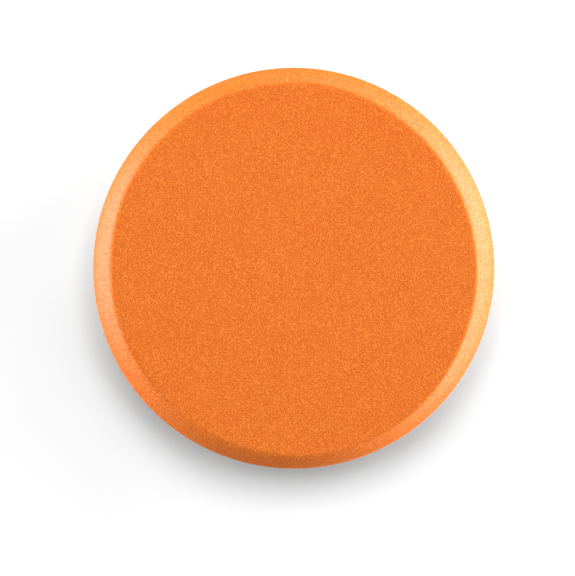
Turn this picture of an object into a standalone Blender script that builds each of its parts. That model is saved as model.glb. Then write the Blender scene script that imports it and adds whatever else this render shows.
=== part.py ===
"""A machine polishing pad: a bevelled foam disc laminated to a loop-fabric back.

Units are metres. The pad lies with its loop side down on z = 0, work face up, centred on the Z axis.
From the floor up it is: loop pile, knitted ground, adhesive film, foam.
"""

import bpy
from math import atan2, cos, radians, sin

# Overall sizes.
PAD_DIAMETER = 0.150
PAD_HEIGHT = 0.030

# Foam.
BEVEL_WIDTH = 0.0060
BEVEL_HEIGHT = 0.0072
FACE_EDGE_RADIUS = 0.0009
RIM_EDGE_RADIUS = 0.0012
BACK_EDGE_RADIUS = 0.0010

# Loop-fabric back.
BACK_INSET = 0.0012
PILE_HEIGHT = 0.0015
PILE_EDGE_ROUND = 0.0006
GROUND_THICKNESS = 0.0007
ADHESIVE_THICKNESS = 0.0004
ADHESIVE_INSET = 0.0005
LAYER_GAP = 0.0003

# How finely turned shapes are divided.
TURN_STEPS = 120
ARC_STEPS = 4

pad_radius = PAD_DIAMETER / 2
back_radius = pad_radius - BACK_INSET
adhesive_radius = back_radius - ADHESIVE_INSET
ground_bottom = PILE_HEIGHT + LAYER_GAP
adhesive_bottom = ground_bottom + GROUND_THICKNESS + LAYER_GAP
foam_bottom = adhesive_bottom + ADHESIVE_THICKNESS + LAYER_GAP
face_radius = pad_radius - BEVEL_WIDTH
bevel_bottom = PAD_HEIGHT - BEVEL_HEIGHT


def clear_scene():
    for obj in list(bpy.data.objects):
        bpy.data.objects.remove(obj, do_unlink=True)


def new_collection(name):
    collection = bpy.data.collections.new(name)
    bpy.context.scene.collection.children.link(collection)
    return collection


def new_material(name, colour, roughness, metallic=0.0):
    material = bpy.data.materials.new(name)
    material.use_nodes = True
    shader = material.node_tree.nodes["Principled BSDF"]
    shader.inputs["Base Color"].default_value = (*colour, 1.0)
    shader.inputs["Roughness"].default_value = roughness
    shader.inputs["Metallic"].default_value = metallic
    material.diffuse_color = (*colour, 1.0)
    return material


def unit(dx, dz):
    length = (dx * dx + dz * dz) ** 0.5
    return dx / length, dz / length


def rounded(corners):
    """The (x, z) outline through corners of (x, z, radius), each rounded by an arc of that radius."""
    outline = [corners[0][:2]]
    for before, corner, after in zip(corners, corners[1:], corners[2:]):
        x, z, radius = corner
        if radius == 0:
            outline.append((x, z))
            continue
        in_x, in_z = unit(before[0] - x, before[1] - z)
        out_x, out_z = unit(after[0] - x, after[1] - z)
        turn = atan2(in_x * out_z - in_z * out_x, in_x * out_x + in_z * out_z)
        half = abs(turn) / 2
        mid_x, mid_z = unit(in_x + out_x, in_z + out_z)
        centre_x = x + mid_x * radius / sin(half)
        centre_z = z + mid_z * radius / sin(half)
        reach = radius * cos(half) / sin(half)
        start = atan2(z + in_z * reach - centre_z, x + in_x * reach - centre_x)
        end = atan2(z + out_z * reach - centre_z, x + out_x * reach - centre_x)
        sweep = (end - start + radians(180)) % radians(360) - radians(180)
        for step in range(ARC_STEPS + 1):
            angle = start + sweep * step / ARC_STEPS
            outline.append((centre_x + radius * cos(angle), centre_z + radius * sin(angle)))
    outline.append(corners[-1][:2])
    return outline


def turned(name, corners, material, collection):
    """A closed solid turned about Z from corners listed from the top centre down to the bottom centre."""
    outline = rounded(corners)
    mesh = bpy.data.meshes.new(name)
    points = [(x, 0.0, z) for x, z in outline]
    mesh.from_pydata(points, [(i, i + 1) for i in range(len(points) - 1)], [])
    obj = bpy.data.objects.new(name, mesh)
    collection.objects.link(obj)
    mesh.materials.append(material)
    screw = obj.modifiers.new("turn", "SCREW")
    screw.axis = "Z"
    screw.angle = radians(360)
    screw.steps = TURN_STEPS
    screw.render_steps = TURN_STEPS
    screw.use_merge_vertices = True
    screw.merge_threshold = 0.00001
    screw.use_smooth_shade = True
    return obj


def make_foam_disc(collection):
    """Flat work face, straight bevel, upright side wall and a flat bonded back, with small rounded edges."""
    corners = [
        (0.0, PAD_HEIGHT, 0),
        (face_radius, PAD_HEIGHT, FACE_EDGE_RADIUS),
        (pad_radius, bevel_bottom, RIM_EDGE_RADIUS),
        (pad_radius, foam_bottom, BACK_EDGE_RADIUS),
        (0.0, foam_bottom, 0),
    ]
    foam = new_material("orange_foam", (0.87, 0.19, 0.03), 0.95)
    return turned("foam_disc", corners, foam, collection)


def turned_layer(name, radius, bottom, top, bottom_round, material, collection):
    """A flat round layer between two heights, its lower edge rounded by bottom_round."""
    corners = [
        (0.0, top, 0),
        (radius, top, 0),
        (radius, bottom, bottom_round),
        (0.0, bottom, 0),
    ]
    return turned(name, corners, material, collection)


def make_adhesive_film(collection):
    """The bond between foam and fabric."""
    top = adhesive_bottom + ADHESIVE_THICKNESS
    adhesive = new_material("hot_melt_adhesive", (0.80, 0.76, 0.66), 0.35)
    return turned_layer("adhesive_film", adhesive_radius, adhesive_bottom, top, 0, adhesive, collection)


def make_loop_ground(collection):
    """The knitted ground of the loop fabric."""
    top = ground_bottom + GROUND_THICKNESS
    knit = new_material("white_knit", (0.80, 0.80, 0.78), 0.90)
    return turned_layer("loop_ground", back_radius, ground_bottom, top, 0, knit, collection)


def make_loop_pile(collection):
    """The envelope of the brushed loops, which the pad lies on."""
    pile = new_material("white_pile", (0.84, 0.84, 0.82), 1.0)
    return turned_layer("loop_pile", back_radius, 0.0, PILE_HEIGHT, PILE_EDGE_ROUND, pile, collection)


def main():
    clear_scene()
    collection = new_collection("polishing_pad")
    make_loop_pile(collection)
    make_loop_ground(collection)
    make_adhesive_film(collection)
    make_foam_disc(collection)


main()
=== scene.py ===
"""A foam polishing pad lying work face up on a white table, seen from straight above."""

import bpy
import math
import numpy as np
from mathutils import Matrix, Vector, noise


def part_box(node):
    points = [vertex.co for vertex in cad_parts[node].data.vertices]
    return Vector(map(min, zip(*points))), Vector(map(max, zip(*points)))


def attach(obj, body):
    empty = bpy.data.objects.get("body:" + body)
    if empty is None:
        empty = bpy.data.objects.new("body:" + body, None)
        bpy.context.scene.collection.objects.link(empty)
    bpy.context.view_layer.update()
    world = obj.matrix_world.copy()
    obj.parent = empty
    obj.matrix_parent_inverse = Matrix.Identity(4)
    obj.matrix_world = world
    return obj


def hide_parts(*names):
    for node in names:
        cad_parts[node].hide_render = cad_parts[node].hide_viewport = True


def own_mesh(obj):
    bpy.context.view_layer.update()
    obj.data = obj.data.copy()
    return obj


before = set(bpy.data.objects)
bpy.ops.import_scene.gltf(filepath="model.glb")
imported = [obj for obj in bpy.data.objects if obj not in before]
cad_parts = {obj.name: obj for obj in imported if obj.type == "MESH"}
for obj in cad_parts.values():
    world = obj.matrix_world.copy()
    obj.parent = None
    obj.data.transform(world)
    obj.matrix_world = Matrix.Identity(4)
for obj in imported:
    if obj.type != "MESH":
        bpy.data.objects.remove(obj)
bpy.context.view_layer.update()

# The frame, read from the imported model.
foam_low, foam_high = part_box("foam_disc")
film_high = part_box("adhesive_film")[1]
ground_low, ground_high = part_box("loop_ground")
PAD_RADIUS = foam_high.x
FOAM_TOP = foam_high.z
FOAM_BOTTOM = foam_low.z
FABRIC_RADIUS = ground_high.x

# Foam shape.
FACE_RADIUS = PAD_RADIUS - 0.0063
FACE_OVAL = 0.00092
FACE_SKEW = 0.00036
FACE_SHIFT = 0.00056
BEVEL_HEIGHT = 0.0072
BEVEL_CROWN = 0.00045
EDGE_SOFTNESS = 0.00060
EDGE_SOFTNESS_CHANGE = 0.00022
SIDE_WAIST = 0.0003
FOAM_GRID = 0.00052
GRID_JITTER = 0.28

# The upward part of a unit normal on the bevel, and how far from it the bevel's gloss ends.
BEVEL_UPWARD = 0.64
GLOSS_INSIDE = 0.16
GLOSS_OUTSIDE = 0.31

# Open cells of the foam surface.
LUMP_PITCH = 0.00085
LUMP_DEPTH = 0.00008
PORE_PITCH = 0.00052
PORE_DEPTH = 0.00009

# Loops of the pile.
PILE_LOOPS = 5200
EDGE_LOOPS = 1150
PILE_YARN_RADIUS = 0.00008
EDGE_YARN_RADIUS = 0.00007
ROOT_HEIGHT = ground_low.z + 0.0001

# Where a hidden end of a piece is kept on its map.
CORNER_CENTRE = 0.04
CORNER_REACH = 0.03


# Mesh helpers.

def hex_disc(rings):
    """Points and triangles of a flat disc: ring k has 6 k points, at radius k / rings."""
    points = [(0.0, 0.0)]
    for ring in range(1, rings + 1):
        for step in range(6 * ring):
            points.append((ring / rings, math.tau * step / (6 * ring)))
    triangles = []
    for ring in range(rings):
        inner = 1 + 3 * ring * (ring - 1) if ring else 0
        outer = 1 + 3 * ring * (ring + 1)
        inner_count = max(6 * ring, 1)
        outer_count = 6 * (ring + 1)
        for sector in range(6):
            for step in range(ring + 1):
                a = outer + (sector * (ring + 1) + step) % outer_count
                b = outer + (sector * (ring + 1) + step + 1) % outer_count
                c = inner + (sector * ring + step) % inner_count
                triangles.append((a, b, c))
                if step < ring:
                    d = inner + (sector * ring + step + 1) % inner_count
                    triangles.append((c, b, d))
    return np.array(points), triangles


def make_mesh(name, points, faces, corner_uvs):
    """A smooth-shaded object from points and faces, with the map that its pattern is kept on."""
    mesh = bpy.data.meshes.new(name)
    mesh.from_pydata(points.tolist(), [], faces)
    mesh.shade_smooth()
    obj = bpy.data.objects.new(name, mesh)
    bpy.context.scene.collection.objects.link(obj)
    layer = mesh.uv_layers.new(name="OFBake")
    layer.uv.foreach_set("vector", corner_uvs.astype(np.float32).ravel())
    return obj


def vertex_normals(obj):
    normals = np.empty(len(obj.data.vertices) * 3, np.float32)
    obj.data.vertex_normals.foreach_get("vector", normals)
    return normals.reshape(-1, 3)


def set_points(obj, points):
    obj.data.vertices.foreach_set("co", points.astype(np.float32).ravel())
    obj.data.update()


# Foam.

def face_radius(angle):
    """The hand-trimmed edge of the work face: slightly oval, and nearer the rim on one side."""
    wobble = 0.00012 * np.sin(5 * angle + 1.0) + 0.00008 * np.sin(9 * angle + 2.2)
    oval = FACE_OVAL * np.cos(2 * angle) + FACE_SKEW * np.sin(2 * angle)
    return FACE_RADIUS - oval - FACE_SHIFT * np.sin(angle) + wobble


def sharp_outline(along, angle):
    """(radius, height) at a distance along the sharp-edged profile, from the top centre to the back."""
    edge = face_radius(angle)
    bevel_low = FOAM_TOP - BEVEL_HEIGHT
    bevel_run = PAD_RADIUS - edge
    bevel_long = np.hypot(bevel_run, BEVEL_HEIGHT)
    side_long = bevel_low - FOAM_BOTTOM
    on_bevel = np.clip((along - edge) / bevel_long, 0, 1)
    on_side = np.clip((along - edge - bevel_long) / side_long, 0, 1)
    on_back = np.maximum(along - edge - bevel_long - side_long, 0)
    crown = 4 * on_bevel * (1 - on_bevel) * BEVEL_CROWN
    waist = 4 * on_side * (1 - on_side) * SIDE_WAIST
    radius = np.minimum(along, edge) + bevel_run * on_bevel + crown * BEVEL_HEIGHT / bevel_long
    height = FOAM_TOP - BEVEL_HEIGHT * on_bevel - side_long * on_side + crown * bevel_run / bevel_long
    return radius - waist - on_back, height


def outline(along, angle):
    """The profile with its edges softened, more on the left than on the right."""
    soft = EDGE_SOFTNESS - EDGE_SOFTNESS_CHANGE * np.cos(angle)
    steps = np.linspace(-2, 2, 9)
    weights = np.exp(-steps * steps / 2)
    radius = 0
    height = 0
    for step, weight in zip(steps, weights / weights.sum()):
        r, z = sharp_outline(along + step * soft, angle)
        radius = radius + weight * r
        height = height + weight * z
    return radius, height


def foam_grid():
    """Each point's distance along the profile and angle, the faces, and the number of points in a row."""
    rings = round(FACE_RADIUS / FOAM_GRID)
    flat, faces = hex_disc(rings)
    count = 6 * rings
    bevel_long = math.hypot(PAD_RADIUS - FACE_RADIUS, BEVEL_HEIGHT)
    down = bevel_long + FOAM_TOP - BEVEL_HEIGHT - FOAM_BOTTOM
    rows = round((down + 2 * EDGE_SOFTNESS) / FOAM_GRID)
    angles = math.tau * np.arange(count) / count
    along = [flat[:, 0] * FACE_RADIUS]
    angle = [flat[:, 1]]
    first = len(flat) - count
    for row in range(1, rows + 1):
        along.append(np.full(count, FACE_RADIUS + (down + 2 * EDGE_SOFTNESS) * row / rows))
        angle.append(angles + (row % 2) * math.pi / count)
        start = len(flat) + (row - 1) * count
        above = first if row == 1 else start - count
        for step in range(count):
            after = (step + 1) % count
            lean = row % 2 == 1
            a, b = above + step, above + after
            c, d = start + step, start + after
            faces += [(a, c, b), (b, c, d)] if lean else [(a, c, d), (a, d, b)]
    return np.concatenate(along), np.concatenate(angle), faces, count


def open_cells(points, normals):
    """The points moved along their normals: cell mouths are pits, and the struts between stand up."""
    rise = np.empty(len(points))
    for i, point in enumerate(points):
        at = Vector(point)
        near = noise.voronoi(at / LUMP_PITCH)[0]
        fine = noise.noise(at / (0.6 * LUMP_PITCH))
        rise[i] = (near[0] - 0.55) + 0.35 * fine
    return points + normals * (rise * LUMP_DEPTH)[:, None]


def polar_uvs(share, angle, centre=0.5, reach=0.495):
    """A place on the map for each share of the way from the centre of a disc to its last edge."""
    return centre + reach * np.stack([share * np.cos(angle), share * np.sin(angle)], 1)


def make_foam():
    along, angle, faces, count = foam_grid()
    rng = np.random.default_rng(7)
    jitter = rng.uniform(-GRID_JITTER, GRID_JITTER, (2, len(along))) * FOAM_GRID
    inside = along > 2 * FOAM_GRID
    along = along + jitter[0] * inside
    angle = angle + jitter[1] * inside / np.maximum(along, FOAM_GRID)
    # The rings are laid out on a true circle, so the face's rows stretch to its own edge.
    share = np.clip(along / FACE_RADIUS, 0, 1)
    radius, height = outline(along + (face_radius(angle) - FACE_RADIUS) * share**3, angle)
    points = np.stack([radius * np.cos(angle), radius * np.sin(angle), height], 1)
    # The bonded back is flat and out of sight: a fan closes it, kept in a corner of the map.
    last = len(points) - count
    centre = len(points)
    points = np.concatenate([points, [[0.0, 0.0, FOAM_BOTTOM]]])
    uvs = np.concatenate([polar_uvs(along / (along.max() + FOAM_GRID), angle), [[0.5, 0.5]]])
    corner_uvs = uvs[np.array(faces).ravel()]
    fan = np.array([(last + (step + 1) % count, last + step, centre) for step in range(count)])
    rim = polar_uvs(np.ones(count), angle[last:], CORNER_CENTRE, CORNER_REACH)
    hub = np.full((count, 2), CORNER_CENTRE)
    back_uvs = np.stack([np.roll(rim, -1, 0), rim, hub], 1).reshape(-1, 2)
    obj = make_mesh("foam", points, faces + fan.tolist(), np.concatenate([corner_uvs, back_uvs]))
    set_points(obj, open_cells(points, vertex_normals(obj)))
    return obj


# Loop-fabric back.

def lathe(name, rows, count):
    """A closed solid of rows of (radius, height) per angle, from the top round the edge to the bottom."""
    angle = math.tau * np.arange(count) / count
    points = [np.stack([r * np.cos(angle), r * np.sin(angle), z + 0 * angle], 1) for r, z in rows]
    top = np.array([[0.0, 0.0, np.mean(rows[0][1])]])
    bottom = np.array([[0.0, 0.0, np.mean(rows[-1][1])]])
    points = np.concatenate([*points, top, bottom])
    top_at = len(rows) * count
    faces = []
    for step in range(count):
        after = (step + 1) % count
        faces.append((step, after, top_at))
        for row in range(len(rows) - 1):
            above = row * count
            below = above + count
            faces.append((above + step, below + step, below + after))
            faces.append((above + step, below + after, above + after))
        faces.append((top_at - count + after, top_at - count + step, top_at + 1))
    # The bottom fills the middle of the map, the rows lie round it, and the hidden top is in a corner.
    share = np.repeat(np.linspace(1, 0.8, len(rows)), count)
    ends = [[CORNER_CENTRE, CORNER_CENTRE], [0.5, 0.5]]
    uvs = np.concatenate([polar_uvs(share, np.tile(angle, len(rows))), ends])
    order = np.array(faces)
    corner_uvs = uvs[order]
    is_top = order[:, 2] == top_at
    around = angle[order[is_top][:, :2] % count].reshape(-1)
    rim = polar_uvs(np.ones(len(around)), around, CORNER_CENTRE, CORNER_REACH)
    corner_uvs[is_top, :2] = rim.reshape(-1, 2, 2)
    return make_mesh(name, points, faces, corner_uvs.reshape(-1, 2))


def ripple(angle, waves, size, seed):
    """A closed uneven line round the edge, from a few waves of unlike lengths."""
    rng = np.random.default_rng(seed)
    total = 0 * angle
    for wave in waves:
        total = total + size * rng.uniform(0.4, 1) * np.sin(wave * angle + rng.uniform(0, math.tau))
    return total / len(waves)


def make_adhesive():
    """The film soaks a little into the foam above and the knit below, and has an uneven bead at its edge."""
    count = 480
    angle = math.tau * np.arange(count) / count
    bead = film_high.x + ripple(angle, (7, 13, 23, 41, 67), 0.0006, 3)
    top = FOAM_BOTTOM + 0.0002 + ripple(angle, (11, 19, 37, 83), 0.00025, 4)
    bottom = ground_high.z - 0.0001
    middle = (top + bottom) / 2
    rows = [
        (bead - 0.0020, FOAM_BOTTOM + 0.0001),
        (bead - 0.0004, top),
        (bead, middle + 0.00015),
        (bead, middle - 0.00015),
        (bead - 0.0004, bottom + 0 * angle),
        (bead - 0.0020, bottom + 0 * angle),
    ]
    return lathe("adhesive", rows, count)


def make_knit():
    """The ground of the loop fabric, cut with the foam, so its edge is a little ragged."""
    count = 720
    angle = math.tau * np.arange(count) / count
    cut = FABRIC_RADIUS + ripple(angle, (9, 31, 71, 127, 211), 0.0004, 5)
    wave = ripple(angle, (5, 17, 53), 0.0001, 6)
    low = ground_low.z + wave
    high = ground_high.z + 0 * wave
    rows = [
        (cut - 0.0030, high),
        (cut - 0.0002, high),
        (cut, (high + low) / 2 + 0.0001),
        (cut - 0.0001, low + 0.0001),
        (cut - 0.0005, low),
        (cut - 0.0060, low),
    ]
    return lathe("knit", rows, count)


def loop_tubes(name, roots, turns, widths, heights, leans, thick, gap_deg=35, segments=6, sides=3):
    """Small yarn loops, each a nearly closed ring of thin tube hanging from its root and leaning over."""
    sweep = np.radians(np.linspace(gap_deg, 360 - gap_deg, segments + 1))
    across = widths[:, None] / 2 * np.sin(sweep)
    hang = -heights[:, None] * (1 - np.cos(sweep)) / 2
    lean = leans[:, None] * (1 - np.cos(sweep)) / 2
    cos, sin = np.cos(turns)[:, None], np.sin(turns)[:, None]
    line = np.stack([across * cos - lean * sin, across * sin + lean * cos, hang], 2) + roots[:, None]
    ahead = np.gradient(line, axis=1)
    ahead /= np.linalg.norm(ahead, axis=2, keepdims=True)
    out = np.stack([-sin, cos, 0 * sin], 2) + 0 * ahead
    out -= (out * ahead).sum(2, keepdims=True) * ahead
    out /= np.linalg.norm(out, axis=2, keepdims=True)
    side = np.cross(ahead, out)
    round_it = math.tau * np.arange(sides) / sides
    ring = np.cos(round_it)[:, None] * out[:, :, None] + np.sin(round_it)[:, None] * side[:, :, None]
    points = (line[:, :, None] + thick * ring).reshape(-1, 3)
    per_loop = (segments + 1) * sides
    one = []
    for step in range(segments):
        for k in range(sides):
            a, b = step * sides + k, step * sides + (k + 1) % sides
            one.append((a, b, b + sides, a + sides))
    one.append(tuple(reversed(range(sides))))
    one.append(tuple(range(per_loop - sides, per_loop)))
    starts = np.arange(len(roots)) * per_loop
    faces = [tuple(start + i for i in face) for start in starts.tolist() for face in one]
    # Each loop has its own cell of the map.
    cells = math.ceil(math.sqrt(len(roots)))
    cell = np.stack([np.arange(len(roots)) % cells, np.arange(len(roots)) // cells], 1)
    local = []
    for face in one:
        for i in face:
            local.append((0.1 + 0.8 * (i // sides) / segments, 0.1 + 0.8 * (i % sides) / sides))
        if len(face) == 4 and face[1] % sides == 0:
            local[-3] = (local[-3][0], 0.9)
            local[-2] = (local[-2][0], 0.9)
    corner_uvs = (cell[:, None] + np.array(local)[None]) / cells
    return make_mesh(name, points, faces, corner_uvs.reshape(-1, 2))


def make_pile():
    """The brushed loops under the ground, evenly spread like seeds and all leaning roughly one way."""
    number = PILE_LOOPS
    rng = np.random.default_rng(11)
    golden = math.pi * (3 - math.sqrt(5))
    radius = (FABRIC_RADIUS - 0.0009) * np.sqrt((np.arange(number) + 0.5) / number)
    angle = golden * np.arange(number)
    roots = np.stack([radius * np.cos(angle), radius * np.sin(angle), np.full(number, ROOT_HEIGHT)], 1)
    roots[:, :2] += rng.normal(0, 0.00025, (number, 2))
    turns = rng.normal(0.3, 0.7, number)
    widths = rng.uniform(0.0009, 0.0015, number)
    leans = rng.normal(0.0005, 0.0003, number)
    heights = rng.uniform(0.0014, 0.00178, number)
    return loop_tubes("pile", roots, turns, widths, heights, leans, PILE_YARN_RADIUS)


def make_pile_edge():
    """The loops along the cut edge, closer together and splayed outwards."""
    number = EDGE_LOOPS
    rng = np.random.default_rng(12)
    angle = math.tau * (np.arange(number) + rng.uniform(-0.4, 0.4, number)) / number
    radius = FABRIC_RADIUS - rng.uniform(0.0004, 0.0013, number)
    roots = np.stack([radius * np.cos(angle), radius * np.sin(angle), np.full(number, ROOT_HEIGHT)], 1)
    turns = angle - math.pi / 2 + rng.normal(0, 0.5, number)
    widths = rng.uniform(0.0007, 0.0012, number)
    leans = rng.uniform(0.0001, 0.0009, number)
    heights = rng.uniform(0.0012, 0.00176, number)
    return loop_tubes("pile_edge", roots, turns, widths, heights, leans, EDGE_YARN_RADIUS)


# Materials.

class Nodes:
    """Short calls for building one material's nodes."""

    def __init__(self, name):
        self.material = bpy.data.materials.new(name)
        self.material.use_nodes = True
        self.tree = self.material.node_tree
        self.shader = self.tree.nodes["Principled BSDF"]
        coordinates = self.tree.nodes.new("ShaderNodeTexCoord")
        self.place = coordinates.outputs["Object"]
        self.normal = coordinates.outputs["Normal"]

    def add(self, kind, links=None, **settings):
        node = self.tree.nodes.new(kind)
        for key, value in settings.items():
            setattr(node, key, value)
        for key, value in (links or {}).items():
            if isinstance(value, bpy.types.NodeSocket):
                self.tree.links.new(value, node.inputs[key])
            else:
                node.inputs[key].default_value = value
        return node

    def noise(self, scale, detail=2.0, roughness=0.5):
        links = {"Vector": self.place, "Scale": scale, "Detail": detail, "Roughness": roughness}
        return self.add("ShaderNodeTexNoise", links).outputs["Fac"]

    def cells(self, scale):
        links = {"Vector": self.place, "Scale": scale}
        return self.add("ShaderNodeTexVoronoi", links).outputs["Distance"]

    def maths(self, operation, a, b=0.0, c=0.0):
        return self.add("ShaderNodeMath", {0: a, 1: b, 2: c}, operation=operation).outputs[0]

    def remap(self, value, low, high, to_low, to_high):
        links = {"Value": value, "From Min": low, "From Max": high, "To Min": to_low, "To Max": to_high}
        return self.add("ShaderNodeMapRange", links).outputs["Result"]

    def mix(self, share, a, b):
        node = self.add("ShaderNodeMix", data_type="RGBA")
        for key, value in ((0, share), (6, a), (7, b)):
            if isinstance(value, bpy.types.NodeSocket):
                self.tree.links.new(value, node.inputs[key])
            else:
                node.inputs[key].default_value = value
        return node.outputs[2]

    def finish(self, colour, height, depth, roughness=None, **plain):
        shader = self.shader
        self.tree.links.new(colour, shader.inputs["Base Color"])
        if roughness is not None:
            self.tree.links.new(roughness, shader.inputs["Roughness"])
        bump = self.add("ShaderNodeBump", {"Height": height, "Distance": depth, "Strength": 1.0})
        self.tree.links.new(bump.outputs["Normal"], shader.inputs["Normal"])
        for key, value in plain.items():
            shader.inputs[key.replace("_", " ")].default_value = value
        return self.material


def foam_material():
    """Open-cell polyurethane in orange, with painted shade in the cell mouths and painted highlight on the
    struts, and a gloss only on the bevel.
    """
    m = Nodes("open_cell_foam")
    pores = m.cells(1 / PORE_PITCH)
    fine = m.noise(1.6 / PORE_PITCH, 2.0, 0.6)
    height = m.maths("MULTIPLY_ADD", fine, 0.6, pores)
    # How far a point lies from a cell mouth towards a strut, which sets how much painted shade or painted
    # highlight it gets.
    strut_highlight_share = m.remap(height, 0.50, 1.15, 0.0, 1.0)
    cloudy = m.noise(70.0, 3.0, 0.5)
    # Painted light: a darker orange in the cell mouths stands for their shade, and a paler one on the struts
    # stands for their highlight.
    mouth_painted_shade = m.mix(cloudy, (0.56, 0.074, 0.0, 1), (0.59, 0.082, 0.0, 1))
    strut_painted_highlight = m.mix(cloudy, (0.75, 0.216, 0.026, 1), (0.79, 0.234, 0.032, 1))
    colour = m.mix(strut_highlight_share, mouth_painted_shade, strut_painted_highlight)
    upward = m.add("ShaderNodeSeparateXYZ", {"Vector": m.normal}).outputs["Z"]
    off_bevel = m.maths("ABSOLUTE", m.maths("SUBTRACT", upward, BEVEL_UPWARD))
    rough = m.remap(off_bevel, GLOSS_INSIDE, GLOSS_OUTSIDE, 0.42, 1.0)
    return m.finish(colour, height, PORE_DEPTH, roughness=rough, Specular_IOR_Level=0.34)


def knit_material():
    """Synthetic knit: rows of small stitches crossing columns of them."""
    m = Nodes("knit_ground")
    wales = {"Vector": m.place, "Scale": 170.0, "Distortion": 1.2}
    wale = m.add("ShaderNodeTexWave", wales).outputs["Fac"]
    courses = {"Vector": m.place, "Scale": 210.0, "Distortion": 1.6}
    course = m.add("ShaderNodeTexWave", courses, bands_direction="Y").outputs["Fac"]
    fibre = m.noise(5200.0, 2.0, 0.6)
    height = m.maths("MULTIPLY_ADD", fibre, 0.5, m.maths("MULTIPLY", wale, course))
    share = m.remap(height, 0.1, 1.2, 0.0, 1.0)
    colour = m.mix(share, (0.34, 0.33, 0.31, 1), (0.68, 0.67, 0.64, 1))
    return m.finish(colour, height, 0.00012, Roughness=0.8, Sheen_Weight=0.3, Sheen_Roughness=0.4)


def pile_material():
    """Off-white nylon yarn, each loop slightly its own shade."""
    m = Nodes("pile_yarn")
    clump = m.noise(160.0, 3.0, 0.6)
    fibre = m.noise(7000.0, 1.0, 0.5)
    colour = m.mix(clump, (0.62, 0.61, 0.58, 1), (0.80, 0.79, 0.76, 1))
    return m.finish(colour, fibre, 0.00003, Roughness=0.55, Sheen_Weight=0.35, Sheen_Roughness=0.4)


def adhesive_material():
    """Milky hot-melt film that has taken up a little of the foam's colour."""
    m = Nodes("hot_melt")
    patch = m.noise(240.0, 4.0, 0.6)
    share = m.remap(patch, 0.38, 0.62, 0.0, 1.0)
    colour = m.mix(share, (0.56, 0.42, 0.28, 1), (0.70, 0.60, 0.47, 1))
    return m.finish(colour, patch, 0.0001, Roughness=0.42, Specular_IOR_Level=0.5)


# Object.

def place(obj, material, slot, body, *nodes):
    """Gives a piece its material and body, and hides the CAD nodes that it stands for."""
    obj.data.materials.append(material)
    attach(obj, body)
    if nodes:
        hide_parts(*nodes)
    return obj


def build_pad():
    foam = place(make_foam(), foam_material(), "foam", "backing", "foam_disc")
    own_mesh(foam)
    # No orange light bounces from the foam to the table, so its shadow stays grey.
    foam.visible_diffuse = False
    place(make_adhesive(), adhesive_material(), "adhesive", "backing", "adhesive_film")
    knit = place(make_knit(), knit_material(), "knit", "backing", "loop_ground")
    yarn = pile_material()
    pile = place(make_pile(), yarn, "pile", "backing", "loop_pile")
    edge = place(make_pile_edge(), yarn, "pile", "backing", "loop_pile")


# Studio.

CAMERA_DISTANCE = 1.6
VIEW_WIDTH = 0.2152
PAD_RIGHT = 0.00232
PAD_UP = 0.00741
RIM_HEIGHT = FOAM_TOP - BEVEL_HEIGHT

# Name, azimuth from the right and elevation in degrees, width and height in metres, power in watts.
SOFTBOXES = (
    ("right", 20, 7, 1.3, 0.34, 46.0),
    ("right_low", -23, 7, 1.2, 0.30, 31.0),
    ("left", 172, 7, 1.6, 0.30, 50.0),
    ("back", 74, 15, 1.1, 0.34, 9.0),
    ("top", 88, 67, 1.1, 1.1, 22.5),
)
SOFTBOX_DISTANCE = 1.6
TABLE_RADIUS = 1.25
WORLD_LIGHT = 0.01


def make_floor():
    bpy.ops.mesh.primitive_circle_add(vertices=128, radius=TABLE_RADIUS, fill_type="TRIFAN")
    floor = bpy.context.object
    floor.name = "table"
    m = Nodes("white_table")
    tone = m.mix(m.noise(30.0), (0.90, 0.90, 0.90, 1), (0.92, 0.92, 0.92, 1))
    floor.data.materials.append(m.finish(tone, m.noise(400.0), 0.00002, Roughness=0.6))
    # Only the softboxes show in the bevel's gloss, so it stays deep orange on its shaded side.
    floor.visible_glossy = False


def add_softbox(name, azimuth, elevation, width, height, power):
    light = bpy.data.lights.new(name, "AREA")
    light.shape = "RECTANGLE"
    light.size = width
    light.size_y = height
    light.energy = power
    obj = bpy.data.objects.new(name, light)
    bpy.context.scene.collection.objects.link(obj)
    a, e = math.radians(azimuth), math.radians(elevation)
    away = Vector((math.cos(a) * math.cos(e), math.sin(a) * math.cos(e), math.sin(e)))
    obj.location = away * SOFTBOX_DISTANCE
    obj.rotation_euler = away.to_track_quat("Z", "Y").to_euler()
    obj.visible_camera = False


def make_world():
    """A dim room light, which the camera sees as a plain white backdrop."""
    world = bpy.data.worlds.new("studio")
    world.use_nodes = True
    tree = world.node_tree
    room = tree.nodes["Background"]
    room.inputs["Color"].default_value = (1.0, 1.0, 1.0, 1)
    room.inputs["Strength"].default_value = WORLD_LIGHT
    backdrop = tree.nodes.new("ShaderNodeBackground")
    backdrop.inputs["Color"].default_value = (1.0, 1.0, 1.0, 1)
    seen = tree.nodes.new("ShaderNodeLightPath")
    share = tree.nodes.new("ShaderNodeMixShader")
    tree.links.new(seen.outputs["Is Camera Ray"], share.inputs[0])
    tree.links.new(room.outputs[0], share.inputs[1])
    tree.links.new(backdrop.outputs[0], share.inputs[2])
    tree.links.new(share.outputs[0], tree.nodes["World Output"].inputs["Surface"])
    bpy.context.scene.world = world


def make_camera():
    data = bpy.data.cameras.new("camera")
    camera = bpy.data.objects.new("camera", data)
    bpy.context.scene.collection.objects.link(camera)
    data.sensor_width = 36.0
    data.lens = data.sensor_width * CAMERA_DISTANCE / VIEW_WIDTH
    camera.location = (-PAD_RIGHT, -PAD_UP, RIM_HEIGHT + CAMERA_DISTANCE)
    bpy.context.scene.camera = camera


def make_studio():
    make_floor()
    for box in SOFTBOXES:
        add_softbox(*box)
    make_world()
    make_camera()
    view = bpy.context.scene.view_settings
    view.view_transform = "Standard"
    view.look = "None"


build_pad()
make_studio()
